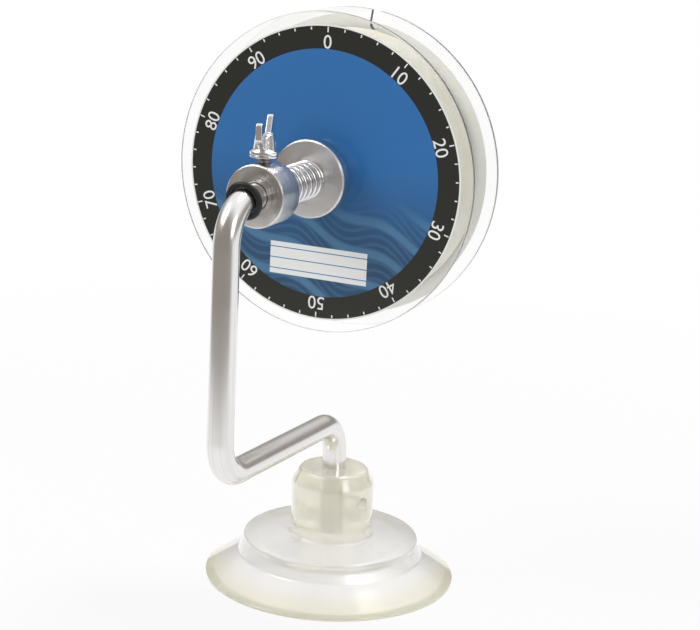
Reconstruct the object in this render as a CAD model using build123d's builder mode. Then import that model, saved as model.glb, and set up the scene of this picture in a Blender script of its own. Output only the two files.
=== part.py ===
"""Line winder: a bent bar in a suction cup carries a line spool between two cones.

Units are millimetres. +Z is up, the axle runs along +Y to its free end, and the
origin is the centre of the suction cup's rim, on the surface it stands on.
"""

import os
from math import cos, hypot, pi, radians, sin, sqrt, tan

from build123d import *

os.makedirs("parts", exist_ok=True)

# ---------------------------------------------------------------- driving sizes
# Clearances
RUN_CLEAR = 0.06  # radial, a shaft in its bore
FACE_GAP = 0.3  # between faces that turn or slide past each other
FIT_GAP = 0.05  # radial, a piece fixed in its seat
SAME_POINT = 0.01  # corners nearer than this are one corner

# Bent bar, 5/16 inch stock
ROD_D = 7.94
BEND_R = 12.0  # centre line radius of the three bends
ROD_END_CHAMFER = 0.6
ARM_FRONT_Z = 57.8  # height of the lower arm at the upright
ARM_BACK_Z = 54.4  # and over the cup
AXLE_Z = 140.4  # height of the axle
UPRIGHT_Y = -81.6  # the upright stands in front of the cup
AXLE_TAIL = 4.0  # free end left beyond the rear collar

# Suction cup
CUP_D = 84.0
LIP_T = 1.0  # thickness of the lip at its edge
SEAL_W = 4.0  # width of the flat sealing ring
CROWN_D = 59.0  # raised middle of the cup
CROWN_Z = 15.0  # at the neck
CROWN_EDGE_Z = 14.0
CROWN_EDGE_H = 1.6  # height of the crown's upright edge
SKIRT_FOOT_D = 62.0  # where the skirt starts, under the crown
SKIRT_FOOT_Z = 8.0
CAVITY_TOP_D = 48.0
CAVITY_H = 9.0
NECK_D = 27.5
NECK_FLAT_D = 22.6  # flat top of the neck, inside the chamfer
NECK_Z = 38.0
NECK_SHOULDER = 4.8  # height of the chamfer at the top of the neck
SOCKET_DEPTH = 22.0
MOULD_R = 1.2  # radius of the moulded corners
PILOT_D = 4.2  # side pilot hole
PILOT_Z = 28.5
PILOT_TURN = -17.0  # degrees from +X, about Z
PILOT_WALL = 1.5  # left between the pilot hole and the socket

# Screw collars
COLLAR_D = 19.0
COLLAR_L = 11.0
COLLAR_CHAMFER = 0.4
FRONT_COLLAR_Y = -59.7  # middle of the front collar
STUD_D = 4.0
STUD_TIP_GAP = 0.1  # tip of the clamped stud to the bar
STUD_SHOW = 1.7  # thread seen between collar and washer
STUD_CHAMFER = 0.4
WASHER_D = 8.8
WASHER_T = 0.6
WASHER_PLAY = 0.2  # radial, washer on stud
WASHER_GAP = 0.1  # washer to wing head
WING_SPAN = 23.0
WING_T = 1.8
WING_H = 10.6
WING_BASE_D = 8.8
WING_BASE_T = 1.1
WING_BARREL_D = 6.8  # foot of the tapered barrel
WING_BARREL_TOP_D = 5.6
WING_BARREL_H = 6.2
WING_EAR_W = 3.4  # width of an ear at its top
WING_EAR_R = 1.2
WING_TURN = 107.5  # degrees from +X about Z, where the ears point

# O-ring at the top bend
O_RING_CORD = 1.9
O_RING_TURN = 10.0  # degrees into the bend

# Cones
CONE_FLANGE_D = 24.6
CONE_FLANGE_T = 5.2
CONE_BASE_D = 22.0
CONE_NOSE_L = 9.0
CONE_HALF_ANGLE = 25.0
CONE_CHAMFER = 0.5
THRUST_WASHER_D = 16.0
THRUST_WASHER_T = 1.0

# Spool
SPOOL_FRONT_Y = -19.4
SPOOL_W = 22.0
FLANGE_D = 101.6
FLANGE_T = 1.6
FLANGE_ROUND = 0.4
SPOOL_BORE_D = 17.4
HUB_WALL = 2.0
DRUM_D = 76.0
DRUM_WALL = 1.8
SLIT_W = 2.7
SLIT_DEPTH = 7.8
SLIT_TURN = 7.5  # degrees from the top towards +X
LABEL_D = 93.6
LABEL_HOLE_D = 19.4
LABEL_T = 0.2

# Line on the spool
LINE_D = 0.35
LINE_PACK_D = 86.0
LINE_PITCH = 1.2  # the turns of the outer layer are laid open
LINE_SIDE_GAP = 0.3  # between the flanges and the wound line

# Spring
WIRE_D = 1.2
SPRING_OD = 12.2
SPRING_COILS = 6  # open coils between the two end coils
SPRING_END_PITCH = 1.75
SPRING_SEAT_GAP = 0.15

# ---------------------------------------------------------------- derived sizes
ROD_R = ROD_D / 2
BORE_R = ROD_R + RUN_CLEAR
COLLAR_R = COLLAR_D / 2
SPOOL_BORE_R = SPOOL_BORE_D / 2
SPOOL_REAR_Y = SPOOL_FRONT_Y + SPOOL_W
SPOOL_MID_Y = SPOOL_FRONT_Y + SPOOL_W / 2
CONE_SLOPE = tan(radians(CONE_HALF_ANGLE))
# each cone stops where its nose meets the edge of the spool's bore
CONE_STAND_OFF = (CONE_BASE_D - SPOOL_BORE_D) / 2 / CONE_SLOPE + FACE_GAP
FRONT_CONE_Y = SPOOL_FRONT_Y - CONE_STAND_OFF - CONE_FLANGE_T  # outer faces
REAR_CONE_Y = SPOOL_REAR_Y + CONE_STAND_OFF + CONE_FLANGE_T
THRUST_WASHER_Y = REAR_CONE_Y + FACE_GAP
REAR_COLLAR_Y = THRUST_WASHER_Y + THRUST_WASHER_T + COLLAR_L / 2
AXLE_END_Y = REAR_COLLAR_Y + COLLAR_L / 2 + AXLE_TAIL
SOCKET_Z = NECK_Z - SOCKET_DEPTH
STUB_END_Z = SOCKET_Z + FACE_GAP

AXLE = Axis((0, 0, AXLE_Z), (0, 1, 0))
# profiles round the axle are drawn here: first coordinate along Y, second the radius
AXLE_SIDE = Plane(origin=(0, 0, AXLE_Z), x_dir=(0, 1, 0), z_dir=(1, 0, 0))


def across_axle(y):
    """Plane square to the axle at y, facing its free end."""
    return Plane(origin=(0, y, AXLE_Z), x_dir=(1, 0, 0), z_dir=(0, 1, 0))


def finish(block, name):
    """Name the piece and write its file."""
    block.part.label = name
    export_step(block.part, f"parts/{name}.step")


def helix_points(radius, rises, place):
    """Ends and tangents of half turns that rise along the plane's normal."""
    points, tangents, height = [], [], 0.0
    for i, rise in enumerate([*rises, rises[-1]]):
        spoke = place.x_dir * cos(i * pi)
        points.append(place.origin + spoke * radius + place.z_dir * height)
        tangents.append((place.z_dir.cross(spoke) * radius + place.z_dir * (rise / pi)).normalized())
        height += rise
    return points, tangents


def biarc(start, start_dir, end, end_dir):
    """Point and tangent where two arcs meet that join start to end smoothly."""
    chord, spread = end - start, start_dir + end_dir
    # the two arcs' control legs have one length: |chord - leg * spread| = 2 * leg
    a = 4 - spread.dot(spread)
    b = 2 * chord.dot(spread)
    leg = (-b + sqrt(b * b + 4 * a * chord.dot(chord))) / (2 * a)
    inner, outer = start + start_dir * leg, end - end_dir * leg
    return (inner + outer) * 0.5, (outer - inner).normalized()


def least_gap(points, tube_d, skip):
    """Least distance between a tube and its own later turns, on points."""
    least = min(
        (points[i] - points[j]).length
        for i in range(len(points))
        for j in range(i + skip, len(points))
    )
    return least - tube_d


def wound_tube(radius, rises, tube_d, place):
    """One unbroken tube wound along the plane's normal, and its least gap to itself."""
    points, tangents = helix_points(radius, rises, place)
    with BuildPart() as tube:
        with BuildLine() as path:
            for i in range(len(rises)):
                middle, middle_dir = biarc(points[i], tangents[i], points[i + 1], tangents[i + 1])
                TangentArc(points[i], middle, tangent=tangents[i])
                TangentArc(middle, points[i + 1], tangent=middle_dir)
        centre_line = path.wire()
        with BuildSketch(Plane(origin=centre_line @ 0, z_dir=centre_line % 0)):
            Circle(tube_d / 2)
        sweep(path=centre_line)
    steps = 24  # points on each half turn
    count = steps * len(rises)
    samples = [centre_line @ (i / count) for i in range(count + 1)]
    return tube, least_gap(samples, tube_d, steps)


# ---------------------------------------------------------------- suction cup
cup_r, crown_r, neck_r = CUP_D / 2, CROWN_D / 2, NECK_D / 2
with BuildPart() as suction_cup:
    with BuildSketch(Plane.XZ):
        with BuildLine():
            Polyline(
                (0, CAVITY_H),
                (CAVITY_TOP_D / 2, CAVITY_H),
                (cup_r - SEAL_W, 0),
                (cup_r, 0),
                (cup_r, LIP_T),
                (SKIRT_FOOT_D / 2, SKIRT_FOOT_Z),
                (crown_r, CROWN_EDGE_Z - CROWN_EDGE_H),
                (crown_r, CROWN_EDGE_Z),
                (neck_r, CROWN_Z),
                (neck_r, NECK_Z - NECK_SHOULDER),
                (NECK_FLAT_D / 2, NECK_Z),
                (0, NECK_Z),
                close=True,
            )
        make_face()
        soft = [
            (SKIRT_FOOT_D / 2, SKIRT_FOOT_Z),
            (crown_r, CROWN_EDGE_Z),
            (neck_r, CROWN_Z),
            (neck_r, NECK_Z - NECK_SHOULDER),
            (NECK_FLAT_D / 2, NECK_Z),
            (CAVITY_TOP_D / 2, CAVITY_H),
        ]
        # the sketch's own X and Y are the radius and the height of the outline
        corners = [
            v for v in vertices() if any(hypot(v.X - r, v.Y - z) < SAME_POINT for r, z in soft)
        ]
        fillet(corners, MOULD_R)
    revolve(axis=Axis.Z)
    with BuildSketch(Plane.XY.offset(SOCKET_Z)):
        Circle(BORE_R)
    extrude(amount=SOCKET_DEPTH, mode=Mode.SUBTRACT)
    pilot_dir = Vector(cos(radians(PILOT_TURN)), sin(radians(PILOT_TURN)), 0)
    pilot_start = BORE_R + PILOT_WALL
    with BuildSketch(Plane(origin=pilot_dir * pilot_start + Vector(0, 0, PILOT_Z), z_dir=pilot_dir)):
        Circle(PILOT_D / 2)
    extrude(amount=neck_r, mode=Mode.SUBTRACT)
finish(suction_cup, "suction_cup")

# ---------------------------------------------------------------- bent bar
with BuildPart() as bent_rod:
    with BuildLine(Plane.YZ) as rod_path:
        FilletPolyline(
            (AXLE_END_Y, AXLE_Z),
            (UPRIGHT_Y, AXLE_Z),
            (UPRIGHT_Y, ARM_FRONT_Z),
            (0, ARM_BACK_Z),
            (0, STUB_END_Z),
            radius=BEND_R,
        )
    with BuildSketch(across_axle(AXLE_END_Y)):
        Circle(ROD_R)
    sweep(path=rod_path.wire())
    ends = edges().filter_by(GeomType.CIRCLE).sort_by(Axis.Z)
    free_end = edges().filter_by(GeomType.CIRCLE).sort_by(Axis.Y)[-1]
    chamfer([ends[0], free_end], ROD_END_CHAMFER)
finish(bent_rod, "bent_rod")

# ---------------------------------------------------------------- O-ring
o_ring_turn = radians(O_RING_TURN)
o_ring_centre = Vector(
    0,
    UPRIGHT_Y + BEND_R - BEND_R * sin(o_ring_turn),
    AXLE_Z - BEND_R + BEND_R * cos(o_ring_turn),
)
o_ring_plane = Plane(
    origin=o_ring_centre,
    x_dir=(1, 0, 0),
    z_dir=(0, cos(o_ring_turn), sin(o_ring_turn)),
)
with BuildPart() as o_ring:
    with Locations(o_ring_plane):
        Torus(ROD_R + RUN_CLEAR + O_RING_CORD / 2, O_RING_CORD / 2)
finish(o_ring, "o_ring")

# ---------------------------------------------------------------- screw collars
for side, collar_y in (("front", FRONT_COLLAR_Y), ("rear", REAR_COLLAR_Y)):
    collar_top = AXLE_Z + COLLAR_R
    washer_z = collar_top + STUD_SHOW
    wing_z = washer_z + WASHER_T + WASHER_GAP
    stud_axis = Axis((0, collar_y, 0), (0, 0, 1))

    with BuildPart() as collar:
        with BuildSketch(across_axle(collar_y - COLLAR_L / 2)):
            Circle(COLLAR_R)
            Circle(BORE_R, mode=Mode.SUBTRACT)
        extrude(amount=COLLAR_L)
        chamfer(edges().filter_by(GeomType.CIRCLE).group_by(SortBy.RADIUS)[-1], COLLAR_CHAMFER)
        with BuildSketch(Plane(origin=(0, collar_y, AXLE_Z))):
            Circle(STUD_D / 2 + FIT_GAP)
        extrude(amount=COLLAR_R, mode=Mode.SUBTRACT)
    finish(collar, f"{side}_collar")

    with BuildPart() as washer:
        with BuildSketch(Plane(origin=(0, collar_y, washer_z))):
            Circle(WASHER_D / 2)
            Circle(STUD_D / 2 + WASHER_PLAY, mode=Mode.SUBTRACT)
        extrude(amount=WASHER_T)
    finish(washer, f"{side}_washer")

    stud_tip_z = AXLE_Z + ROD_R + STUD_TIP_GAP
    stud_top_z = wing_z + WING_BARREL_H - STUD_CHAMFER
    with BuildPart() as stud:
        with BuildSketch(Plane(origin=(0, collar_y, stud_tip_z))):
            Circle(STUD_D / 2)
        extrude(amount=stud_top_z - stud_tip_z)
        chamfer(edges().filter_by(GeomType.CIRCLE), STUD_CHAMFER)
    finish(stud, f"{side}_stud")

    hole_r = STUD_D / 2 + FIT_GAP
    wing_dir = Vector(cos(radians(WING_TURN)), sin(radians(WING_TURN)), 0)
    # drawn upright through the stud's axis: first coordinate along the ears, second the height
    wing_side = Plane(
        origin=(0, collar_y, wing_z),
        x_dir=wing_dir,
        z_dir=wing_dir.cross(Vector(0, 0, 1)),
    )
    with BuildPart() as wing_nut:
        with BuildSketch(wing_side):
            with BuildLine():
                Polyline(
                    (0, 0),
                    (WING_BASE_D / 2, 0),
                    (WING_BASE_D / 2, WING_BASE_T),
                    (WING_BARREL_D / 2, WING_BASE_T),
                    (WING_BARREL_TOP_D / 2, WING_BARREL_H),
                    (0, WING_BARREL_H),
                    close=True,
                )
            make_face()
        revolve(axis=stud_axis)
        with BuildSketch(wing_side):
            with BuildLine():
                FilletPolyline(
                    (hole_r, WING_BASE_T),
                    (WING_BASE_D / 2, WING_BASE_T + WING_EAR_R / 2),
                    (WING_SPAN / 2, WING_H / 2),
                    (WING_SPAN / 2, WING_H),
                    (WING_SPAN / 2 - WING_EAR_W, WING_H),
                    (WING_BASE_D / 2, WING_BARREL_H - WING_EAR_R),
                    (hole_r, WING_BARREL_H - WING_EAR_R / 2),
                    radius=WING_EAR_R,
                    close=True,
                )
            make_face()
            mirror(about=Plane.YZ)
        extrude(amount=WING_T / 2, both=True)
        with BuildSketch(Plane(origin=(0, collar_y, wing_z))):
            Circle(hole_r)
        extrude(amount=WING_H, mode=Mode.SUBTRACT)
    finish(wing_nut, f"{side}_wing_nut")

# ---------------------------------------------------------------- centring cones
for side, flange_y, inward in (("front", FRONT_CONE_Y, 1), ("rear", REAR_CONE_Y, -1)):
    nose_y = flange_y + inward * (CONE_FLANGE_T + CONE_NOSE_L)
    back_y = flange_y + inward * CONE_FLANGE_T
    with BuildPart() as cone:
        with BuildSketch(AXLE_SIDE):
            with BuildLine():
                Polyline(
                    (flange_y, BORE_R),
                    (flange_y, CONE_FLANGE_D / 2 - CONE_CHAMFER),
                    (flange_y + inward * CONE_CHAMFER, CONE_FLANGE_D / 2),
                    (back_y - inward * CONE_CHAMFER, CONE_FLANGE_D / 2),
                    (back_y, CONE_FLANGE_D / 2 - CONE_CHAMFER),
                    (back_y, CONE_BASE_D / 2),
                    (nose_y, CONE_BASE_D / 2 - CONE_NOSE_L * CONE_SLOPE),
                    (nose_y, BORE_R),
                    close=True,
                )
            make_face()
        revolve(axis=AXLE)
    finish(cone, f"{side}_cone")

with BuildPart() as thrust_washer:
    with BuildSketch(across_axle(THRUST_WASHER_Y)):
        Circle(THRUST_WASHER_D / 2)
        Circle(BORE_R, mode=Mode.SUBTRACT)
    extrude(amount=THRUST_WASHER_T)
finish(thrust_washer, "thrust_washer")

# ---------------------------------------------------------------- spool
drum_r = DRUM_D / 2
drum_inner_r = drum_r - DRUM_WALL
hub_r = SPOOL_BORE_R + HUB_WALL
for side, face_y, inward in (("front", SPOOL_FRONT_Y, 1), ("rear", SPOOL_REAR_Y, -1)):
    web_y = face_y + inward * FLANGE_T
    with BuildPart() as spool_half:
        with BuildSketch(AXLE_SIDE):
            with BuildLine():
                Polyline(
                    (face_y, SPOOL_BORE_R),
                    (face_y, FLANGE_D / 2),
                    (web_y, FLANGE_D / 2),
                    (web_y, drum_r),
                    (SPOOL_MID_Y, drum_r),
                    (SPOOL_MID_Y, drum_inner_r),
                    (web_y, drum_inner_r),
                    (web_y, hub_r),
                    (SPOOL_MID_Y, hub_r),
                    (SPOOL_MID_Y, SPOOL_BORE_R),
                    close=True,
                )
            make_face()
        revolve(axis=AXLE)
        rim = edges().filter_by(GeomType.CIRCLE).group_by(SortBy.RADIUS)[-1]
        fillet(rim, FLANGE_ROUND)
        if side == "rear":
            # the line's end is caught in a slit that ends in a round root
            slit_turn = radians(SLIT_TURN)
            slit_plane = Plane(
                origin=(0, SPOOL_REAR_Y, AXLE_Z),
                x_dir=(-cos(slit_turn), 0, sin(slit_turn)),
                z_dir=(0, 1, 0),
            )
            with BuildSketch(slit_plane):
                with Locations((0, FLANGE_D / 2)):
                    SlotOverall(2 * SLIT_DEPTH, SLIT_W, rotation=90)
            extrude(amount=-FLANGE_T, mode=Mode.SUBTRACT)
    finish(spool_half, f"spool_{side}_half")

    with BuildPart() as label:
        with BuildSketch(across_axle(min(face_y, face_y - inward * LABEL_T))):
            Circle(LABEL_D / 2)
            Circle(LABEL_HOLE_D / 2, mode=Mode.SUBTRACT)
        extrude(amount=LABEL_T)
    finish(label, f"{side}_label")

# ---------------------------------------------------------------- line on the spool
pack_start_y = SPOOL_FRONT_Y + FLANGE_T + LINE_SIDE_GAP
pack_width = SPOOL_W - 2 * (FLANGE_T + LINE_SIDE_GAP)
winding_r = LINE_PACK_D / 2 - LINE_D / 2
with BuildPart() as line_core:
    with BuildSketch(across_axle(pack_start_y)):
        Circle(winding_r - LINE_D / 2 - FIT_GAP)
        Circle(drum_r + FIT_GAP, mode=Mode.SUBTRACT)
    extrude(amount=pack_width)
finish(line_core, "line_core")

line_half_turns = int(2 * (pack_width - LINE_D) / LINE_PITCH)
line_rise = (pack_width - LINE_D) / line_half_turns
line_winding, line_gap = wound_tube(
    winding_r,
    [line_rise] * line_half_turns,
    LINE_D,
    across_axle(pack_start_y + LINE_D / 2),
)
print(f"line winding: {line_half_turns / 2} turns, least gap to itself {line_gap:.3f} mm")
finish(line_winding, "line_winding")

# ---------------------------------------------------------------- spring
spring_start_y = FRONT_COLLAR_Y + COLLAR_L / 2 + SPRING_SEAT_GAP + WIRE_D / 2
spring_end_y = FRONT_CONE_Y - SPRING_SEAT_GAP - WIRE_D / 2
spring_pitch = (spring_end_y - spring_start_y - 2 * SPRING_END_PITCH) / SPRING_COILS
spring_rises = [
    *[SPRING_END_PITCH / 2] * 2,
    *[spring_pitch / 2] * 2 * SPRING_COILS,
    *[SPRING_END_PITCH / 2] * 2,
]
tension_spring, spring_gap = wound_tube(
    (SPRING_OD - WIRE_D) / 2,
    spring_rises,
    WIRE_D,
    across_axle(spring_start_y),
)
print(f"tension spring: {len(spring_rises) / 2} coils, least gap to itself {spring_gap:.3f} mm")
finish(tension_spring, "tension_spring")
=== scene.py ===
"""A fishing line winder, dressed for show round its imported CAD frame. Units are metres, +Z is up."""

from math import cos, pi, radians, sin, tan

import bmesh
import bpy
from mathutils import Matrix, Vector


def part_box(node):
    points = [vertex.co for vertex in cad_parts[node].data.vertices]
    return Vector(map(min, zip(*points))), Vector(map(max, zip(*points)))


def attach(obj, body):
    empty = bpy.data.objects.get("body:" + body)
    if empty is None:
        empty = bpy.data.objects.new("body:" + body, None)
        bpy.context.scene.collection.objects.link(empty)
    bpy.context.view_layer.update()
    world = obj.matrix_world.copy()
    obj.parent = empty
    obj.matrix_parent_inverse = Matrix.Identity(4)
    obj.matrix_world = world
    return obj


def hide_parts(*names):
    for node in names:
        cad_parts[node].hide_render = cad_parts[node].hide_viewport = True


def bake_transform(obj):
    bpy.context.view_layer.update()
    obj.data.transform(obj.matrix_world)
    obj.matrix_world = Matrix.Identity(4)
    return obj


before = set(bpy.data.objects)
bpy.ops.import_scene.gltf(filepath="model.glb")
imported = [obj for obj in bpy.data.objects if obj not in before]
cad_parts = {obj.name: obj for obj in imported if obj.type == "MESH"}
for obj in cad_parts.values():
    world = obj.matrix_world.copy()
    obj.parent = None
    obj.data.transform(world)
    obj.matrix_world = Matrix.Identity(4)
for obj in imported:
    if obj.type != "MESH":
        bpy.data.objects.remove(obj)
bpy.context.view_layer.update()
bpy.context.scene.view_settings.view_transform = "Standard"


# ---------------------------------------------------------------- studio
# A pale floor without an edge and three softboxes, in a room that metal sees as dim behind the
# camera. None of it belongs to the winder. The camera stands where the photograph was taken from.


class Wire:
    """One output socket. Sums on wires add Math nodes to its tree."""

    def __init__(self, nodes, socket):
        self.nodes, self.socket = nodes, socket

    def __getitem__(self, name):
        return Wire(self.nodes, self.socket.node.outputs[name])

    def __add__(self, other):
        return self.nodes.math("ADD", self, other)

    def __sub__(self, other):
        return self.nodes.math("SUBTRACT", self, other)

    def __rsub__(self, other):
        return self.nodes.math("SUBTRACT", other, self)

    def __mul__(self, other):
        return self.nodes.math("MULTIPLY", self, other)

    def __truediv__(self, other):
        return self.nodes.math("DIVIDE", self, other)

    __radd__, __rmul__ = __add__, __mul__


class Nodes:
    """A node tree. Each node comes with its type, its settings and the values or wires of its sockets."""

    def __init__(self, tree):
        self.tree = tree

    def node(self, kind, settings=None, values=(), out=0):
        made = self.tree.nodes.new(kind)
        for name, value in (settings or {}).items():
            setattr(made, name, value)
        self.fill(made, values)
        return Wire(self, made.outputs[out] if made.outputs else None)

    def fill(self, made, values):
        pairs = values.items() if isinstance(values, dict) else enumerate(values)
        for key, value in pairs:
            socket = made.inputs[key]
            if isinstance(value, Wire):
                self.tree.links.new(value.socket, socket)
            elif socket.type == "RGBA":
                socket.default_value = (*value, 1.0)
            else:
                socket.default_value = value

    def math(self, operation, *values):
        return self.node("ShaderNodeMath", {"operation": operation}, values)

    def vector(self, x, y, z):
        return self.node("ShaderNodeCombineXYZ", None, (x, y, z))

    def split(self, vector):
        """The vector, to be asked for its ["X"], ["Y"] or ["Z"]."""
        return self.node("ShaderNodeSeparateXYZ", None, (vector,))

    def length(self, vector):
        return self.node("ShaderNodeVectorMath", {"operation": "LENGTH"}, (vector,), out=1)

    def along(self, vector, way):
        """How far the vector goes this way."""
        return self.node("ShaderNodeVectorMath", {"operation": "DOT_PRODUCT"}, (vector, way), out=1)

    def blend(self, share, first, second):
        """Colour between first and second."""
        return self.node("ShaderNodeMix", {"data_type": "RGBA"}, {0: share, 6: first, 7: second}, out=2)

    def soften(self, value, start, end):
        """0 before start, 1 after end, on a smooth curve."""
        settings = {"interpolation_type": "SMOOTHSTEP"}
        return self.node("ShaderNodeMapRange", settings, (value, start, end, 0.0, 1.0))


class Finish(Nodes):
    """A material. Its shader's sockets take plain values here and wires later."""

    def __init__(self, name, plain):
        self.material = bpy.data.materials.new(name)
        self.material.use_nodes = True
        super().__init__(self.material.node_tree)
        self.shader = self.tree.nodes["Principled BSDF"]
        self.result = self.tree.nodes["Material Output"]
        self.surface = Wire(self, self.shader.outputs[0])
        self.fill(self.shader, plain)

    def place(self):
        return self.node("ShaderNodeTexCoord")["Object"]

    def noise(self, scale, detail, at=None):
        """Noise from 0 to 1, over the object or over the vector at."""
        values = {"Vector": at or self.place(), "Scale": scale, "Detail": detail}
        return self.node("ShaderNodeTexNoise", None, values)

    def relief(self, height, depth):
        """Bump of this height, from 0 to 1, over a depth in metres."""
        bump = self.node("ShaderNodeBump", None, {"Height": height, "Distance": depth})
        self.fill(self.shader, {"Normal": bump})


def between(share, low, high):
    """Number that goes from low to high as the share goes from 0 to 1."""
    return share * (high - low) + low


def shown(name, data):
    """New object of this data, in the scene."""
    made = bpy.data.objects.new(name, data)
    bpy.context.scene.collection.objects.link(made)
    return made


VIEW_AIM = Vector((0.00327, 0.0, 0.09109))
VIEW_DISTANCE = 0.6193
VIEW_AZIMUTH, VIEW_ELEVATION, VIEW_ROLL = radians(24.08), radians(14.57), radians(2.8)
VIEW_LENS = 96.9  # millimetres, on a sensor 36 mm wide
VIEW_NEAREST = 0.01

back = Vector(
    (
        sin(VIEW_AZIMUTH) * cos(VIEW_ELEVATION),
        -cos(VIEW_AZIMUTH) * cos(VIEW_ELEVATION),
        sin(VIEW_ELEVATION),
    )
)
level = Vector((cos(VIEW_AZIMUTH), sin(VIEW_AZIMUTH), 0.0))
rise = back.cross(level)
across = level * cos(VIEW_ROLL) + rise * sin(VIEW_ROLL)
upward = rise * cos(VIEW_ROLL) - level * sin(VIEW_ROLL)
camera = shown("camera", bpy.data.cameras.new("camera"))
camera.data.lens = VIEW_LENS
camera.data.clip_start = VIEW_NEAREST
facing_aim = Matrix((across, upward, back)).transposed().to_4x4()
camera.matrix_world = Matrix.Translation(VIEW_AIM + back * VIEW_DISTANCE) @ facing_aim
bpy.context.scene.camera = camera


def ray_kinds(nodes):
    """1 on rays that look at the room, straight or through clear plastic, and 1 on mirrored rays."""
    rays = nodes.node("ShaderNodeLightPath")
    looking = rays["Is Camera Ray"] + rays["Is Transmission Ray"]
    mirrored = rays["Is Glossy Ray"] * (1.0 - rays["Is Transmission Ray"])
    return looking, mirrored


ROOM_WHITE = (1.0, 1.0, 1.0)
ROOM_FRONT = (0.30, 0.27, 0.24)  # the dim side of the room, behind the camera
ROOM_WALLS = (0.34, 0.31, 0.29)  # the walls, between the white sheet and the bright ceiling
ROOM_LIGHT = 0.55
DIM_START, DIM_END = 0.1, 0.75  # where the dim side begins, as a cosine from straight behind
CEILING_START, CEILING_END = 0.25, 0.62  # where the ceiling begins, as the sine of the height

world = bpy.data.worlds.new("studio")
world.use_nodes = True
bpy.context.scene.world = world
sky = Nodes(world.node_tree)
sky_looking, sky_mirrored = ray_kinds(sky)
heading = sky.node("ShaderNodeTexCoord")["Generated"]
dim = sky.soften(sky.along(heading, (0.0, -1.0, 0.0)), DIM_START, DIM_END)
ceiling = sky.soften(sky.split(heading)["Z"], CEILING_START, CEILING_END)
room = sky.blend(dim, sky.blend(ceiling, ROOM_WALLS, ROOM_WHITE), ROOM_FRONT)
sky.fill(
    world.node_tree.nodes["Background"],
    {
        "Color": sky.blend(sky_mirrored, ROOM_WHITE, room),
        "Strength": between(sky_looking + sky_mirrored, ROOM_LIGHT, 1.0),
    },
)


def softbox(name, place, width, height, watts):
    lamp = bpy.data.lights.new(name, "AREA")
    lamp.shape, lamp.size, lamp.size_y, lamp.energy = "RECTANGLE", width, height, watts
    toward = VIEW_AIM - Vector(place)
    turned_to_aim = toward.to_track_quat("-Z", "Y").to_matrix().to_4x4()
    shown(name, lamp).matrix_world = Matrix.Translation(place) @ turned_to_aim


softbox("key_softbox", (-0.55, -0.45, 0.85), width=0.5, height=0.5, watts=3.6)
softbox("window_softbox", (0.75, -0.35, 0.45), width=0.28, height=0.42, watts=1.2)
softbox("ceiling_softbox", (0.10, 0.27, 0.86), width=0.20, height=0.26, watts=2.2)

FLOOR_REACH, FLOOR_DROP = 12.0, 0.0001
FLOOR_COLOUR = (0.88, 0.88, 0.88)
NEAR_GLOW, FAR_GLOW = 0.8, 1.0  # share of plain white in what the camera sees of the floor
GLOW_START, GLOW_END = 0.1, 0.5
SHEET_EDGE_START, SHEET_EDGE_END = 0.29, 0.40  # where the white sheet gives way to the dim room
SHEET_FRONT = (-0.2, -0.98, 0.0)
SHEET_SIDE_START, SHEET_SIDE_END = -0.1, 0.35  # how squarely a place lies in front of the cup

floor_mesh = bpy.data.meshes.new("floor")
corners = [(-1, -1), (1, -1), (1, 1), (-1, 1)]
floor_mesh.from_pydata(
    [(x * FLOOR_REACH, y * FLOOR_REACH, -FLOOR_DROP) for x, y in corners], [], [(0, 1, 2, 3)]
)
floor = shown("floor", floor_mesh)
pale = Finish("pale floor", {"Base Color": FLOOR_COLOUR, "Roughness": 0.9, "Specular IOR Level": 0.0})
floor_looking, floor_mirrored = ray_kinds(pale)
floor_place = pale.place()
from_cup = pale.length(floor_place)
clean_share = between(pale.soften(from_cup, GLOW_START, GLOW_END), NEAR_GLOW, FAR_GLOW)
past_sheet = pale.soften(from_cup, SHEET_EDGE_START, SHEET_EDGE_END)
ahead = pale.along(floor_place, SHEET_FRONT) / from_cup
off_sheet = past_sheet * pale.soften(ahead, SHEET_SIDE_START, SHEET_SIDE_END)
mirror_colour = pale.blend(off_sheet, ROOM_WHITE, ROOM_FRONT)
mirror_glow = pale.node("ShaderNodeEmission", None, {"Color": mirror_colour})
clean_glow = pale.node("ShaderNodeEmission", None, {"Color": ROOM_WHITE})
seen_floor = pale.node("ShaderNodeMixShader", None, (floor_looking * clean_share, pale.surface, clean_glow))
any_floor = pale.node("ShaderNodeMixShader", None, (floor_mirrored, seen_floor, mirror_glow))
pale.fill(pale.result, {"Surface": any_floor})
floor.data.materials.append(pale.material)


# ---------------------------------------------------------------- suction cup
# Clear soft PVC, moulded in one piece: a thin skirt with a flat sealing ring, a raised crown and
# a thick neck. The neck has a blind socket that grips the bar and a small pilot hole in its side.


def rounded(corners, steps=6):
    """Outline through corners (across, along, radius), each corner turned on an arc."""
    outline = []
    for i, (x, y, radius) in enumerate(corners):
        corner = Vector((x, y))
        before = Vector(corners[i - 1][:2]) - corner
        after = Vector(corners[(i + 1) % len(corners)][:2]) - corner
        if radius == 0:
            outline.append(corner)
            continue
        half = before.angle(after) / 2
        reach = radius / tan(half)
        start = corner + before.normalized() * reach
        end = corner + after.normalized() * reach
        middle = corner + (before.normalized() + after.normalized()).normalized() * (radius / sin(half))
        for step in range(steps + 1):
            spoke = start.lerp(end, step / steps) - middle
            outline.append(middle + spoke.normalized() * radius)
    return outline


SAME_POINT = 1e-7


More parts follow.
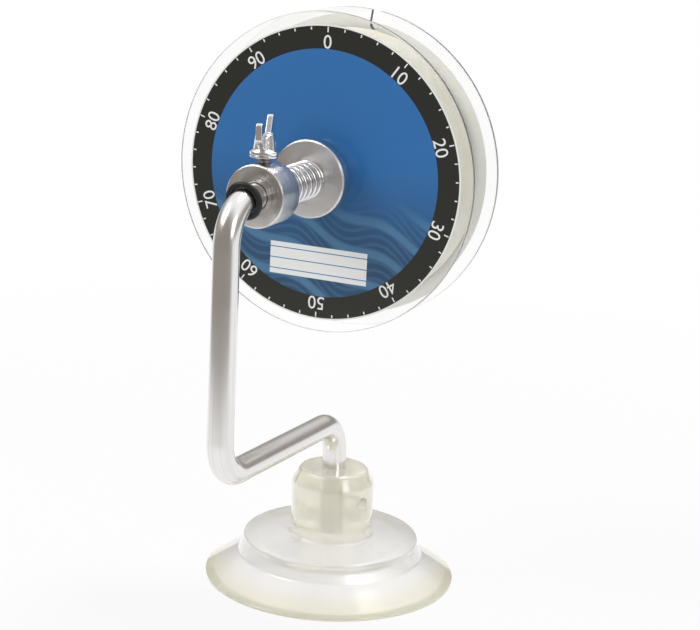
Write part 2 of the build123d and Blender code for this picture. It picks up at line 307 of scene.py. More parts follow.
def solid(name, bm, material, smooth_below=35):
    """Object of a closed mesh, its normals outwards, smooth but at sharp edges."""
    bmesh.ops.remove_doubles(bm, verts=bm.verts, dist=SAME_POINT)
    bmesh.ops.recalc_face_normals(bm, faces=bm.faces)
    mesh = bpy.data.meshes.new(name)
    bm.to_mesh(mesh)
    bm.free()
    mesh.materials.append(material)
    mesh.shade_smooth()
    mesh.set_sharp_from_angle(angle=radians(smooth_below))
    return shown(name, mesh)


def turned_mesh(outline, around):
    """Closed mesh of an outline (radius, height) turned about +Z in this many steps."""
    bm = bmesh.new()
    rings = []
    for radius, height in outline:
        count = around if radius > SAME_POINT else 1
        turns = [2 * pi * k / around for k in range(count)]
        rings.append([bm.verts.new((radius * cos(t), radius * sin(t), height)) for t in turns])
    for i, ring in enumerate(rings):
        other = rings[(i + 1) % len(rings)]
        if len(ring) == 1 and len(other) == 1:
            continue
        for k in range(around):
            n = (k + 1) % around
            quad = [ring[k % len(ring)], ring[n % len(ring)], other[n % len(other)], other[k % len(other)]]
            bm.faces.new(list(dict.fromkeys(quad)))
    return bm


def turned(name, corners, material, around, steps=3, facing=1):
    """Solid turned about +Z through corners (radius, height, rounding), or with -Z up for facing -1."""
    outline = [(p.x, facing * p.y) for p in rounded(corners, steps)]
    return solid(name, turned_mesh(outline, around), material)


def settle(piece, smooth_below=35):
    """Replaces a piece's mesh by what its modifiers make of it."""
    depsgraph = bpy.context.evaluated_depsgraph_get()
    mesh = bpy.data.meshes.new_from_object(piece.evaluated_get(depsgraph))
    piece.modifiers.clear()
    piece.data = mesh
    mesh.shade_smooth()
    mesh.set_sharp_from_angle(angle=radians(smooth_below))


def cut(piece, tool):
    """Takes the tool's volume out of the piece, and removes the tool."""
    taking = piece.modifiers.new("cut", "BOOLEAN")
    taking.operation, taking.solver, taking.object = "DIFFERENCE", "EXACT", tool
    settle(piece)
    bpy.data.objects.remove(tool)


def bored(piece, start, end, radius, around=48):
    """Cuts a round hole from start to end through the piece."""
    run = Vector(end) - Vector(start)
    bm = bmesh.new()
    bmesh.ops.create_cone(
        bm, cap_ends=True, segments=around, radius1=radius, radius2=radius, depth=run.length
    )
    drill = solid("drill", bm, piece.data.materials[0])
    middle = (Vector(start) + Vector(end)) / 2
    drill.data.transform(Matrix.Translation(middle) @ run.to_track_quat("Z", "Y").to_matrix().to_4x4())
    cut(piece, drill)


SHADOW_TINT = (0.975, 0.975, 0.97)


def clear_plastic(name, plain, depth_tint, density):
    """Clear moulded plastic that tints light by its depth and lets lamps through."""
    finish = Finish(name, {"Transmission Weight": 1.0, **plain})
    rays = finish.node("ShaderNodeLightPath")
    soft_light = finish.math("MAXIMUM", rays["Is Shadow Ray"], rays["Is Diffuse Ray"])
    open_way = finish.node("ShaderNodeBsdfTransparent", None, {"Color": SHADOW_TINT})
    lamps_pass = finish.node("ShaderNodeMixShader", None, (soft_light, finish.surface, open_way))
    depth = finish.node("ShaderNodeVolumeAbsorption", None, {"Color": depth_tint, "Density": density})
    finish.fill(finish.result, {"Surface": lamps_pass, "Volume": depth})
    return finish


cup_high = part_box("suction_cup")[1]
CUP_R, NECK_TOP = cup_high.x, cup_high.z
LIP_T, SEAL_W = 0.001, 0.004
SKIRT_FOOT_R, SKIRT_FOOT_Z = 0.031, 0.008
CROWN_R, CROWN_Z, CROWN_EDGE_Z, CROWN_EDGE_H = 0.0295, 0.015, 0.014, 0.0016
CAVITY_R, CAVITY_H = 0.024, 0.009
NECK_R, NECK_FLAT_R, SHOULDER_H = 0.01375, 0.0113, 0.0048
SOCKET_R, SOCKET_Z = 0.00403, 0.016
PILOT_R, PILOT_Z, PILOT_START, PILOT_PAST = 0.0021, 0.0285, 0.00553, 0.002
PILOT_TURN = radians(-17)
CAVITY_ROUND, SEAL_ROUND, LIP_LOW_ROUND, LIP_TOP_ROUND = 0.0025, 0.0006, 0.0002, 0.0004
SKIRT_ROUND, CROWN_LOW_ROUND, CROWN_TOP_ROUND = 0.0015, 0.0006, 0.0009
NECK_FOOT_ROUND, SHOULDER_ROUND, NECK_TOP_ROUND = 0.0012, 0.0028, 0.0018
MOUTH_ROUND, SOCKET_ROUND = 0.0004, 0.0003

PVC_DEPTH_TINT, PVC_DENSITY = (0.86, 0.83, 0.66), 14.0
PVC_MILK, PVC_AGED = (0.955, 0.95, 0.95), (0.88, 0.85, 0.68)
NECK_AGE = 0.6  # as a share of the lip's
AGE_LEAST, AGE_MOST = 0.6, 1.2
SKIRT_ROUGH, NECK_ROUGH = 0.26, 0.05
NECK_FADE = 0.005

pvc = clear_plastic(
    "clear soft PVC",
    {
        "Base Color": PVC_MILK,
        "IOR": 1.44,
        "Transmission Weight": 0.68,
        "Coat Weight": 1.0,
        "Coat Roughness": 0.015,
    },
    PVC_DEPTH_TINT,
    PVC_DENSITY,
)
cloud = pvc.noise(scale=90.0, detail=3.0)
in_cup = pvc.split(pvc.place())
at_lip = pvc.soften(pvc.length(pvc.vector(in_cup["X"], in_cup["Y"], 0.0)), CROWN_R, CUP_R)
in_neck = pvc.soften(in_cup["Z"], CROWN_Z, CROWN_Z + NECK_FADE)
aged = pvc.math("MAXIMUM", at_lip, in_neck * NECK_AGE) * between(cloud, AGE_LEAST, AGE_MOST)
pvc.fill(
    pvc.shader,
    {
        "Base Color": pvc.blend(aged, PVC_MILK, PVC_AGED),
        "Roughness": between(in_neck, SKIRT_ROUGH, NECK_ROUGH),
    },
)
pvc.relief(cloud, depth=0.0001)

cup = turned(
    "moulded_cup",
    [
        (0, CAVITY_H, 0),
        (CAVITY_R, CAVITY_H, CAVITY_ROUND),
        (CUP_R - SEAL_W, 0, SEAL_ROUND),
        (CUP_R, 0, LIP_LOW_ROUND),
        (CUP_R, LIP_T, LIP_TOP_ROUND),
        (SKIRT_FOOT_R, SKIRT_FOOT_Z, SKIRT_ROUND),
        (CROWN_R, CROWN_EDGE_Z - CROWN_EDGE_H, CROWN_LOW_ROUND),
        (CROWN_R, CROWN_EDGE_Z, CROWN_TOP_ROUND),
        (NECK_R, CROWN_Z, NECK_FOOT_ROUND),
        (NECK_R, NECK_TOP - SHOULDER_H, SHOULDER_ROUND),
        (NECK_FLAT_R, NECK_TOP, NECK_TOP_ROUND),
        (SOCKET_R, NECK_TOP, MOUTH_ROUND),
        (SOCKET_R, SOCKET_Z, SOCKET_ROUND),
        (0, SOCKET_Z, 0),
    ],
    pvc.material,
    around=160,
    steps=6,
)
pilot_way = Vector((cos(PILOT_TURN), sin(PILOT_TURN), 0))
pilot_height = Vector((0, 0, PILOT_Z))
pilot_end = pilot_height + pilot_way * (NECK_R + PILOT_PAST)
bored(cup, pilot_height + pilot_way * PILOT_START, pilot_end, PILOT_R)
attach(cup, "base")
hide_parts("suction_cup")


# ---------------------------------------------------------------- bent bar
# One length of drawn 5/16 inch aluminium bar, bent three times round a former and left as drawn,
# satin with fine streaks along it, their darker brown partly painted reflection. Its lower end is pushed
# into the neck's blind socket.


class Recipe(Nodes):
    """A Geometry Nodes tree with named sizes. Once it has its end, it makes plain mesh objects."""

    def __init__(self, name, sizes):
        super().__init__(bpy.data.node_groups.new(name, "GeometryNodeTree"))
        self.sizes = sizes
        face = self.tree.interface
        for way in ("OUTPUT", "INPUT"):
            face.new_socket("Geometry", in_out=way, socket_type="NodeSocketGeometry")
        for size, value in sizes.items():
            kind = "NodeSocketInt" if isinstance(value, int) else "NodeSocketFloat"
            face.new_socket(size, in_out="INPUT", socket_type=kind)
        self.given = self.node("NodeGroupInput")

    def carried(self, geometry, kind, name, value):
        """Geometry that carries a value along, and the value as it arrives."""
        kept = self.node("GeometryNodeCaptureAttribute", None, {"Geometry": geometry})
        kept.socket.node.capture_items.new(kind, name)
        self.fill(kept.socket.node, {name: value})
        return kept["Geometry"], kept[name]

    def end(self, geometry, material):
        """Last nodes of the tree: one real mesh in one material."""
        joined = self.node("GeometryNodeRealizeInstances", None, {"Geometry": geometry})
        dressed = self.node("GeometryNodeSetMaterial", None, {"Geometry": joined, "Material": material})
        self.node("NodeGroupOutput", None, {"Geometry": dressed})

    def make(self, name, points=(), edges=()):
        """Object of the tree's mesh, which may start from points and edges."""
        mesh = bpy.data.meshes.new(name)
        mesh.from_pydata(points, edges, [])
        made = shown(name, mesh)
        maker = made.modifiers.new("recipe", "NODES")
        maker.node_group = self.tree
        for item in self.tree.interface.items_tree:
            if item.in_out == "INPUT" and item.name in self.sizes:
                maker[item.identifier] = self.sizes[item.name]
        settle(made)
        return made


def seat(piece, body, node):
    """The piece rides on its body in place of its CAD node."""
    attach(piece, body)
    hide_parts(node)


ROD_R, BEND_R, ROD_CHAMFER = 0.00397, 0.012, 0.0006
ROD_AROUND, ROD_BEND_STEPS, ROD_RING_STEP = 48, 40, 0.0006
rod_low, rod_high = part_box("bent_rod")
AXLE_Z = rod_high.z - ROD_R
UPRIGHT_Y, AXLE_END_Y = rod_low.y + ROD_R, rod_high.y
STUB_END_Z = rod_low.z
ARM_FRONT_Z, ARM_BACK_Z = 0.0578, 0.0544

# The darker brown of the streaks is partly the bar's own drawn grain and partly a painted reflection of the
# room along the bar.
DRAWN_LIGHT, GRAIN_AND_REFLECTION_DARK = (0.84, 0.83, 0.82), (0.66, 0.62, 0.58)
STREAK_LENGTHEN = 0.012  # a streak's width over its length
STREAK_START, STREAK_END, STREAK_SHARE = 0.42, 0.62, 0.2
DRAWN_ROUGH, STREAK_ROUGH, PATCH_ROUGH = 0.13, 0.1, 0.1

satin = Finish("satin drawn aluminium", {"Base Color": DRAWN_LIGHT, "Metallic": 1.0})
grain = satin.node("ShaderNodeAttribute", {"attribute_name": "grain"})["Vector"]
streak_values = {"Vector": grain, "Scale": (1.0, 1.0, STREAK_LENGTHEN)}
streaks = satin.noise(scale=1900.0, detail=6.0, at=satin.node("ShaderNodeMapping", None, streak_values))
patches = satin.noise(scale=130.0, detail=2.0, at=grain)
# Share of darker brown in the colour: partly drawn grain, partly painted reflection.
grain_and_reflection_streaks = satin.soften(streaks, STREAK_START, STREAK_END) * STREAK_SHARE
satin.fill(
    satin.shader,
    {
        "Base Color": satin.blend(grain_and_reflection_streaks, DRAWN_LIGHT, GRAIN_AND_REFLECTION_DARK),
        "Roughness": DRAWN_ROUGH + STREAK_ROUGH * streaks + PATCH_ROUGH * patches,
    },
)
satin.relief(streaks, depth=0.00001)

bar = Recipe(
    "bent bar",
    {"Radius": ROD_R, "Bend": BEND_R, "Chamfer": ROD_CHAMFER, "Step": ROD_RING_STEP, "Around": ROD_AROUND},
)
route = bar.node("GeometryNodeMeshToCurve", None, {"Mesh": bar.given["Geometry"]})
bent = bar.node(
    "GeometryNodeFilletCurve",
    {"mode": "POLY"},
    {"Curve": route, "Count": ROD_BEND_STEPS, "Radius": bar.given["Bend"]},
)
ringed = bar.node(
    "GeometryNodeResampleCurve", {"mode": "LENGTH"}, {"Curve": bent, "Length": bar.given["Step"]}
)
end_share = 1.0 - bar.given["Chamfer"] / bar.given["Radius"]
chamfered = bar.node(
    "GeometryNodeSetCurveRadius",
    None,
    {"Curve": ringed, "Selection": bar.node("GeometryNodeCurveEndpointSelection"), "Radius": end_share},
)
circle = bar.node(
    "GeometryNodeCurvePrimitiveCircle",
    None,
    {"Resolution": bar.given["Around"], "Radius": bar.given["Radius"]},
)
length_so_far = bar.node("GeometryNodeSplineParameter")["Length"]
path, rod_along = bar.carried(chamfered, "FLOAT", "Along", length_so_far)
profile, rod_across = bar.carried(circle, "VECTOR", "Across", bar.node("GeometryNodeInputPosition"))
tube = bar.node(
    "GeometryNodeCurveToMesh", None, {"Curve": path, "Profile Curve": profile, "Fill Caps": True}
)
spoke = bar.split(rod_across)
grained = bar.node(
    "GeometryNodeStoreNamedAttribute",
    {"data_type": "FLOAT_VECTOR", "domain": "POINT"},
    {"Geometry": tube, "Name": "grain", "Value": bar.vector(spoke["X"], spoke["Y"], rod_along)},
)
bar.end(grained, satin.material)
rod_corners = [
    (0, AXLE_END_Y, AXLE_Z),
    (0, UPRIGHT_Y, AXLE_Z),
    (0, UPRIGHT_Y, ARM_FRONT_Z),
    (0, 0, ARM_BACK_Z),
    (0, 0, STUB_END_Z),
]
rod = bar.make("drawn_bar", rod_corners, [(i, i + 1) for i in range(len(rod_corners) - 1)])
seat(rod, "arm", "bent_rod")


# ---------------------------------------------------------------- O-ring
# A black rubber ring on the bar, rolled up to where the top bend begins. It stops the front
# collar from riding into the bend.


def on_axle(piece, y, tilt=0.0, drop=0.0):
    """Turns a piece made about +Z so that its +Z lies along the axle, and puts it at y."""
    stood = Matrix.Rotation(radians(-90) + tilt, 4, "X")
    piece.data.transform(Matrix.Translation((0, y, AXLE_Z - drop)) @ stood)


def section(off, radius, steps):
    """Outline of a round cord whose middle is this far off +Z."""
    turns = [2 * pi * k / steps for k in range(steps)]
    return [(off + radius * cos(t), radius * sin(t)) for t in turns]


RING_CORD_R, RING_TURN, RING_CLEAR = 0.00095, radians(10), 0.00006
RING_AROUND, RING_CORD_AROUND = 96, 24
RUBBER_ROUGH_LOW, RUBBER_ROUGH_HIGH = 0.34, 0.54

rubber = Finish("black rubber", {"Base Color": (0.012, 0.012, 0.013), "Specular IOR Level": 0.4})
bloom = rubber.noise(scale=900.0, detail=5.0)
rubber.fill(rubber.shader, {"Roughness": between(bloom, RUBBER_ROUGH_LOW, RUBBER_ROUGH_HIGH)})
rubber.relief(bloom, depth=0.00002)

ring_cord = section(ROD_R + RING_CLEAR + RING_CORD_R, RING_CORD_R, RING_CORD_AROUND)
ring = solid("rubber_ring", turned_mesh(ring_cord, RING_AROUND), rubber.material)
ring_y = UPRIGHT_Y + BEND_R - BEND_R * sin(RING_TURN)
on_axle(ring, ring_y, tilt=RING_TURN, drop=BEND_R - BEND_R * cos(RING_TURN))
seat(ring, "arm", "o_ring")


# ---------------------------------------------------------------- screw collars
# Two turned aluminium collars slide on the axle. A steel stud through the top of each clamps it,
# with a cast, zinc-plated wing head fixed on the stud and a loose washer under the head.


def off_axle(finish):
    """Where a point lies from the axle, and its distance from the axle's line."""
    axle_point = (0.0, 0.0, AXLE_Z)
    from_axle = finish.node("ShaderNodeVectorMath", {"operation": "SUBTRACT"}, (finish.place(), axle_point))
    at = finish.split(from_axle)
    return at, finish.length(finish.vector(at["X"], 0.0, at["Z"]))


TOOL_FEED = 0.00016
MARK_SHARE, WANDER_RATE = 0.5, 2200.0
TURNED_ROUGH_LOW, TURNED_ROUGH_HIGH = 0.14, 0.28

turned_metal = Finish("turned aluminium", {"Base Color": (0.74, 0.73, 0.72), "Metallic": 1.0})
turned_at, turned_r = off_axle(turned_metal)
tool_path = turned_r + turned_at["Y"]
cut_marks = turned_metal.math("SINE", tool_path * (2 * pi / TOOL_FEED))
wander_values = {"W": tool_path * WANDER_RATE, "Detail": 4.0}
wander = turned_metal.node("ShaderNodeTexNoise", {"noise_dimensions": "1D"}, wander_values)
turned_metal.fill(turned_metal.shader, {"Roughness": between(wander, TURNED_ROUGH_LOW, TURNED_ROUGH_HIGH)})
turned_metal.relief(MARK_SHARE * cut_marks + wander, depth=0.000013)

ZINC_ROUGH_LOW, ZINC_ROUGH_HIGH = 0.06, 0.20
zinc = Finish("bright zinc plate", {"Base Color": (0.87, 0.88, 0.89), "Metallic": 1.0})
skin = zinc.noise(scale=700.0, detail=5.0)
zinc.fill(zinc.shader, {"Roughness": between(skin, ZINC_ROUGH_LOW, ZINC_ROUGH_HIGH)})
zinc.relief(skin, depth=0.000016)

STEEL_ROUGH_LOW, STEEL_ROUGH_HIGH = 0.22, 0.44
steel = Finish("oiled steel thread", {"Base Color": (0.33, 0.32, 0.31), "Metallic": 1.0})
oil = steel.noise(scale=1100.0, detail=3.0)
steel.fill(steel.shader, {"Roughness": between(oil, STEEL_ROUGH_LOW, STEEL_ROUGH_HIGH)})

COLLAR_R, COLLAR_CHAMFER, BORE_R, BORE_BREAK = 0.0095, 0.0004, 0.00403, 0.00045
TOOL_ROUND = 0.0001  # what a turning tool leaves on each corner
HOLE_CLEAR, HOLE_PAST = 0.00005, 0.001


def turned_collar(side, middle_y, half_l):
    face_r = COLLAR_R - COLLAR_CHAMFER
    collar = turned(
        f"{side}_turned_collar",
        [
            (BORE_R, -half_l + BORE_BREAK, 0),
            (BORE_R + BORE_BREAK, -half_l, TOOL_ROUND),
            (face_r, -half_l, TOOL_ROUND),
            (COLLAR_R, -half_l + COLLAR_CHAMFER, TOOL_ROUND),
            (COLLAR_R, half_l - COLLAR_CHAMFER, TOOL_ROUND),
            (face_r, half_l, TOOL_ROUND),
            (BORE_R + BORE_BREAK, half_l, TOOL_ROUND),
            (BORE_R, half_l - BORE_BREAK, 0),
        ],
        turned_metal.material,
        around=128,
    )
    on_axle(collar, middle_y)
    hole_end = (0, middle_y, AXLE_Z + COLLAR_R + HOLE_PAST)
    bored(collar, (0, middle_y, AXLE_Z), hole_end, STUD_R + HOLE_CLEAR)
    seat(collar, f"{side}_clamp", f"{side}_collar")


WASHER_HOLE_R, WASHER_HOLE_ROUND, WASHER_LOW_ROUND, WASHER_TOP_ROUND = 0.0022, 0.00005, 0.0002, 0.00012


def loose_washer(side, middle_y):
    low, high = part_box(f"{side}_washer")
    washer = turned(
        f"{side}_loose_washer",
        [
            (WASHER_HOLE_R, low.z, WASHER_HOLE_ROUND),
            (high.x, low.z, WASHER_LOW_ROUND),
            (high.x, high.z, WASHER_TOP_ROUND),
            (WASHER_HOLE_R, high.z, WASHER_HOLE_ROUND),
        ],
        zinc.material,
        around=64,
    )
    washer.data.transform(Matrix.Translation((0, middle_y, 0)))
    seat(washer, f"{side}_washer", f"{side}_washer")


STUD_R, STUD_CHAMFER, THREAD_PITCH, THREAD_DEPTH = 0.002, 0.0004, 0.0007, 0.00026
STUD_AROUND, STUD_RINGS = 36, 170

stud_low, stud_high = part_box("front_stud")
thread = Recipe(
    "stud thread",
    {
        "Radius": STUD_R,
        "Depth": THREAD_DEPTH,
        "Pitch": THREAD_PITCH,
        "Chamfer": STUD_CHAMFER,
        "Length": stud_high.z - stud_low.z,
    },
)
full_r = thread.given["Radius"]
blank = thread.node(
    "GeometryNodeMeshCylinder",
    None,
    {
        "Vertices": STUD_AROUND,
        "Side Segments": STUD_RINGS,
        "Radius": full_r,
        "Depth": thread.given["Length"],
    },
)
where = thread.split(thread.node("GeometryNodeInputPosition"))
turn = thread.math("ARCTAN2", where["Y"], where["X"]) / (2 * pi)
ridge = thread.math("PINGPONG", where["Z"] / thread.given["Pitch"] - turn, 0.5)
threaded_r = full_r - thread.given["Depth"] * (1.0 - 2.0 * ridge)
to_end = thread.given["Length"] * 0.5 - thread.math("ABSOLUTE", where["Z"])
chamfered_r = full_r - thread.given["Chamfer"] + to_end
cut_r = thread.math("MINIMUM", threaded_r, chamfered_r)
cut_place = thread.vector(where["X"] * cut_r / full_r, where["Y"] * cut_r / full_r, where["Z"])
threaded = thread.node("GeometryNodeSetPosition", None, {"Geometry": blank, "Position": cut_place})
thread.end(threaded, steel.material)


def threaded_stud(side, middle_y):
    low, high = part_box(f"{side}_stud")
    thread.sizes["Length"] = high.z - low.z
    stud = thread.make(f"{side}_threaded_stud")
    stud.data.transform(Matrix.Translation((0, middle_y, (low.z + high.z) / 2)))
    seat(stud, f"{side}_wing", f"{side}_stud")


WING_T, WING_BASE_R, WING_BASE_T, WING_STEP = 0.0018, 0.0044, 0.0011, 0.0004
WING_BARREL_R, WING_BARREL_TOP_R, WING_BARREL_H = 0.0034, 0.0028, 0.0062
WING_SPAN, WING_H, WING_EAR_W, WING_EAR_R = 0.023, 0.0106, 0.0034, 0.0012
WING_EAR_ROOT = 0.0005
WING_TURN = radians(107.5)
CAST_ROUND, CAST_LOW_ROUND = 0.0003, 0.0002
CAST_VOXEL, CAST_WEAR = 0.00016, 5


def prism(bm, near, far):
    """Adds two ends, given as like rings of points, and the walls between them."""
    ends = [[bm.verts.new(point) for point in ring] for ring in (near, far)]
    for end in ends:
        bm.faces.new(end)
    for i in range(len(near)):
        n = (i + 1) % len(near)
        bm.faces.new((ends[0][i], ends[0][n], ends[1][n], ends[1][i]))


def cast_ears(middle_y, base_z):
    """The two ears of a wing head, drawn upright: across from the stud, then up from the base."""
    ear = rounded(
        [
            (WING_EAR_ROOT, WING_BASE_T, 0),
            (WING_BASE_R, WING_BASE_T + WING_EAR_R / 2, WING_EAR_R),
            (WING_SPAN / 2, WING_H / 2, WING_EAR_R),
            (WING_SPAN / 2, WING_H, WING_EAR_R),
            (WING_SPAN / 2 - WING_EAR_W, WING_H, WING_EAR_R),
            (WING_BASE_R, WING_BARREL_H - WING_EAR_R, WING_EAR_R),
            (WING_EAR_ROOT, WING_BARREL_H - WING_EAR_R / 2, 0),
        ]
    )
    bm = bmesh.new()
    for side in (1, -1):
        faces = [[(side * p.x, half * WING_T / 2, p.y) for p in ear] for half in (-1, 1)]
        prism(bm, *faces)
    bmesh.ops.recalc_face_normals(bm, faces=bm.faces)
    bm.transform(Matrix.Translation((0, middle_y, base_z)) @ Matrix.Rotation(WING_TURN, 4, "Z"))
    return solid("ears", bm, zinc.material)


def cast_wing(side, middle_y):
    """Hub and ears melted into one casting, with soft corners."""
    base_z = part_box(f"{side}_wing_nut")[0].z
    hub = turned(
        f"{side}_cast_wing",
        [
            (STUD_R + HOLE_CLEAR, 0, 0),
            (WING_BASE_R, 0, CAST_LOW_ROUND),
            (WING_BASE_R, WING_BASE_T, CAST_ROUND),
            (WING_BARREL_R, WING_BASE_T + WING_STEP, CAST_ROUND),
            (WING_BARREL_TOP_R, WING_BARREL_H, CAST_ROUND),
            (STUD_R + HOLE_CLEAR, WING_BARREL_H, 0),
        ],
        zinc.material,
        around=64,
    )
    hub.data.transform(Matrix.Translation((0, middle_y, base_z)))
    ears = cast_ears(middle_y, base_z)
    melt = hub.modifiers.new("joined", "BOOLEAN")
    melt.operation, melt.solver, melt.object = "UNION", "EXACT", ears
    recast = hub.modifiers.new("recast", "REMESH")
    recast.mode, recast.voxel_size = "VOXEL", CAST_VOXEL
    worn = hub.modifiers.new("worn", "SMOOTH")
    worn.factor, worn.iterations = 0.5, CAST_WEAR
    settle(hub, smooth_below=180)
    bpy.data.objects.remove(ears)
    seat(hub, f"{side}_wing", f"{side}_wing_nut")


for side in ("front", "rear"):
    low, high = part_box(f"{side}_collar")
    clamp_y = (low.y + high.y) / 2
    turned_collar(side, clamp_y, (high.y - low.y) / 2)
    loose_washer(side, clamp_y)
    threaded_stud(side, clamp_y)
    cast_wing(side, clamp_y)


# ---------------------------------------------------------------- tension spring
# A plain compression spring of bright wire, with a closed coil at each end. It stands between
# the front collar and the front cone, and presses the cones onto the spool.


def wind(recipe, angle, climb, around):
    """Strand wound about +Y to this angle and height along its run, with so many sides."""
    run = recipe.node("GeometryNodeCurvePrimitiveLine")
    count = recipe.given["Points"]
    dotted = recipe.node("GeometryNodeResampleCurve", {"mode": "COUNT"}, {"Curve": run, "Count": count})
    turn_r = recipe.given["Turn radius"]
    place = recipe.vector(
        recipe.math("COSINE", angle) * turn_r, climb, -1.0 * recipe.math("SINE", angle) * turn_r
    )
    wound = recipe.node("GeometryNodeSetPosition", None, {"Geometry": dotted, "Position": place})
    round_values = {"Resolution": around, "Radius": recipe.given["Strand radius"]}
    strand = recipe.node("GeometryNodeCurvePrimitiveCircle", None, round_values)
    swept = {"Curve": wound, "Profile Curve": strand, "Fill Caps": True}
    return recipe.node("GeometryNodeCurveToMesh", None, swept)


WIRE_R, COIL_R, WIRE_AROUND = 0.0006, 0.0055, 18
OPEN_COILS, END_COIL_RISE, COIL_POINTS = 6, 0.00175, 44
WIRE_ROUGH_LOW, WIRE_ROUGH_HIGH = 0.1, 0.26
low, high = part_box("tension_spring")
spring_start, spring_end = low.y + WIRE_R, high.y - WIRE_R

wire = Finish("bright spring wire", {"Base Color": (0.82, 0.82, 0.83), "Metallic": 1.0})
drawn = wire.noise(scale=1500.0, detail=3.0)
wire.fill(wire.shader, {"Roughness": between(drawn, WIRE_ROUGH_LOW, WIRE_ROUGH_HIGH)})
wire.relief(drawn, depth=0.00001)

coil = Recipe(
    "spring coil",
    {
        "Strand radius": WIRE_R,
        "Turn radius": COIL_R,
        "Coils": float(OPEN_COILS + 2),
        "End rise": END_COIL_RISE,
        "Open rise": (spring_end - spring_start - 2 * END_COIL_RISE) / OPEN_COILS,
        "Points": COIL_POINTS * (OPEN_COILS + 2),
    },
)
turns = coil.node("GeometryNodeSplineParameter")["Factor"] * coil.given["Coils"]
first = coil.math("MINIMUM", turns, 1.0)
last = coil.math("MAXIMUM", turns - coil.given["Coils"] + 1.0, 0.0)
climb = (first + last) * coil.given["End rise"] + (turns - first - last) * coil.given["Open rise"]
coil.end(wind(coil, turns * (2 * pi), climb, WIRE_AROUND), wire.material)
spring = coil.make("wire_spring")
spring.data.transform(Matrix.Translation((0, spring_start, AXLE_Z)))
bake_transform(spring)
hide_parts("tension_spring")


# ---------------------------------------------------------------- cones
# Two turned aluminium discs with a cone nose each, which centre the spool's bore. The rear one
# runs against a nylon washer on the rear collar.

CONE_FLANGE_R, CONE_FLANGE_T, CONE_BASE_R = 0.0123, 0.0052, 0.011
CONE_NOSE_L, CONE_HALF_ANGLE, CONE_CHAMFER, NOSE_ROUND = 0.009, radians(25), 0.0005, 0.0003
nose_r = CONE_BASE_R - CONE_NOSE_L * tan(CONE_HALF_ANGLE)
nose_end = CONE_FLANGE_T + CONE_NOSE_L
for side, body, inward in (("front", "front_cone", 1), ("rear", "spool", -1)):
    low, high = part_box(f"{side}_cone")
    cone = turned(
        f"{side}_turned_cone",
        [
            (BORE_R, BORE_BREAK, 0),
            (BORE_R + BORE_BREAK, 0, TOOL_ROUND),
            (CONE_FLANGE_R - CONE_CHAMFER, 0, TOOL_ROUND),
            (CONE_FLANGE_R, CONE_CHAMFER, TOOL_ROUND),
            (CONE_FLANGE_R, CONE_FLANGE_T - CONE_CHAMFER, TOOL_ROUND),
            (CONE_FLANGE_R - CONE_CHAMFER, CONE_FLANGE_T, TOOL_ROUND),
            (CONE_BASE_R, CONE_FLANGE_T, TOOL_ROUND),
            (nose_r, nose_end, NOSE_ROUND),
            (BORE_R, nose_end, TOOL_ROUND),
        ],
        turned_metal.material,
        around=144,
        facing=inward,
    )
    on_axle(cone, low.y if inward > 0 else high.y)
    seat(cone, body, f"{side}_cone")

NYLON_ROUGH_LOW, NYLON_ROUGH_HIGH, NYLON_BORE_ROUND, NYLON_RIM_ROUND = 0.3, 0.5, 0.0001, 0.0002
nylon = Finish("natural nylon", {"Base Color": (0.86, 0.85, 0.79), "Subsurface Weight": 0.2})
mottle = nylon.noise(scale=500.0, detail=3.0)
nylon.fill(nylon.shader, {"Roughness": between(mottle, NYLON_ROUGH_LOW, NYLON_ROUGH_HIGH)})
low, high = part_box("thrust_washer")
thrust = turned(
    "nylon_washer",
    [
        (BORE_R, low.y, NYLON_BORE_ROUND),
        (high.x, low.y, NYLON_RIM_ROUND),
        (high.x, high.y, NYLON_RIM_ROUND),
        (BORE_R, high.y, NYLON_BORE_ROUND),
    ],
    nylon.material,
    around=96,
)
on_axle(thrust, 0.0)
seat(thrust, "rear_clamp", "thrust_washer")


# ---------------------------------------------------------------- spool
# Two clear polystyrene mouldings, pushed together at the middle of the drum: each is a flange
# with half of the drum and half of the hub. The rear flange has a slit that holds the line's end.

FLANGE_T, FLANGE_ROUND = 0.0016, 0.0004
SPOOL_BORE_R, HUB_WALL, DRUM_R, DRUM_WALL = 0.0087, 0.002, 0.038, 0.0018
BORE_ROUND, ROOT_ROUND, JOINT_ROUND = 0.0002, 0.0003, 0.0001
SLIT_W, SLIT_DEPTH, SLIT_TURN, SLIT_STEPS = 0.0027, 0.0078, radians(7.5), 16
SAW_PAST_FACE, SAW_PAST_RIM = 0.001, 0.002
GLUE_GAP = 0.00002
STYRENE_DEPTH_TINT, STYRENE_DENSITY = (0.80, 0.84, 0.80), 20.0
STYRENE_ROUGH, RIM_ROUGH = 0.02, 0.52

front_low, front_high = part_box("spool_front_half")
rear_low, rear_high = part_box("spool_rear_half")
FLANGE_R = front_high.x

styrene = clear_plastic(
    "clear polystyrene",
    {"Base Color": (1.0, 1.0, 1.0), "IOR": 1.46},
    STYRENE_DEPTH_TINT,
    STYRENE_DENSITY,
)
styrene.relief(styrene.noise(scale=60.0, detail=2.0), depth=0.00006)
spool_r = off_axle(styrene)[1]
worn_rim = styrene.soften(spool_r, FLANGE_R - FLANGE_ROUND, FLANGE_R - FLANGE_ROUND / 4)
styrene.fill(styrene.shader, {"Roughness": between(worn_rim, STYRENE_ROUGH, RIM_ROUGH)})


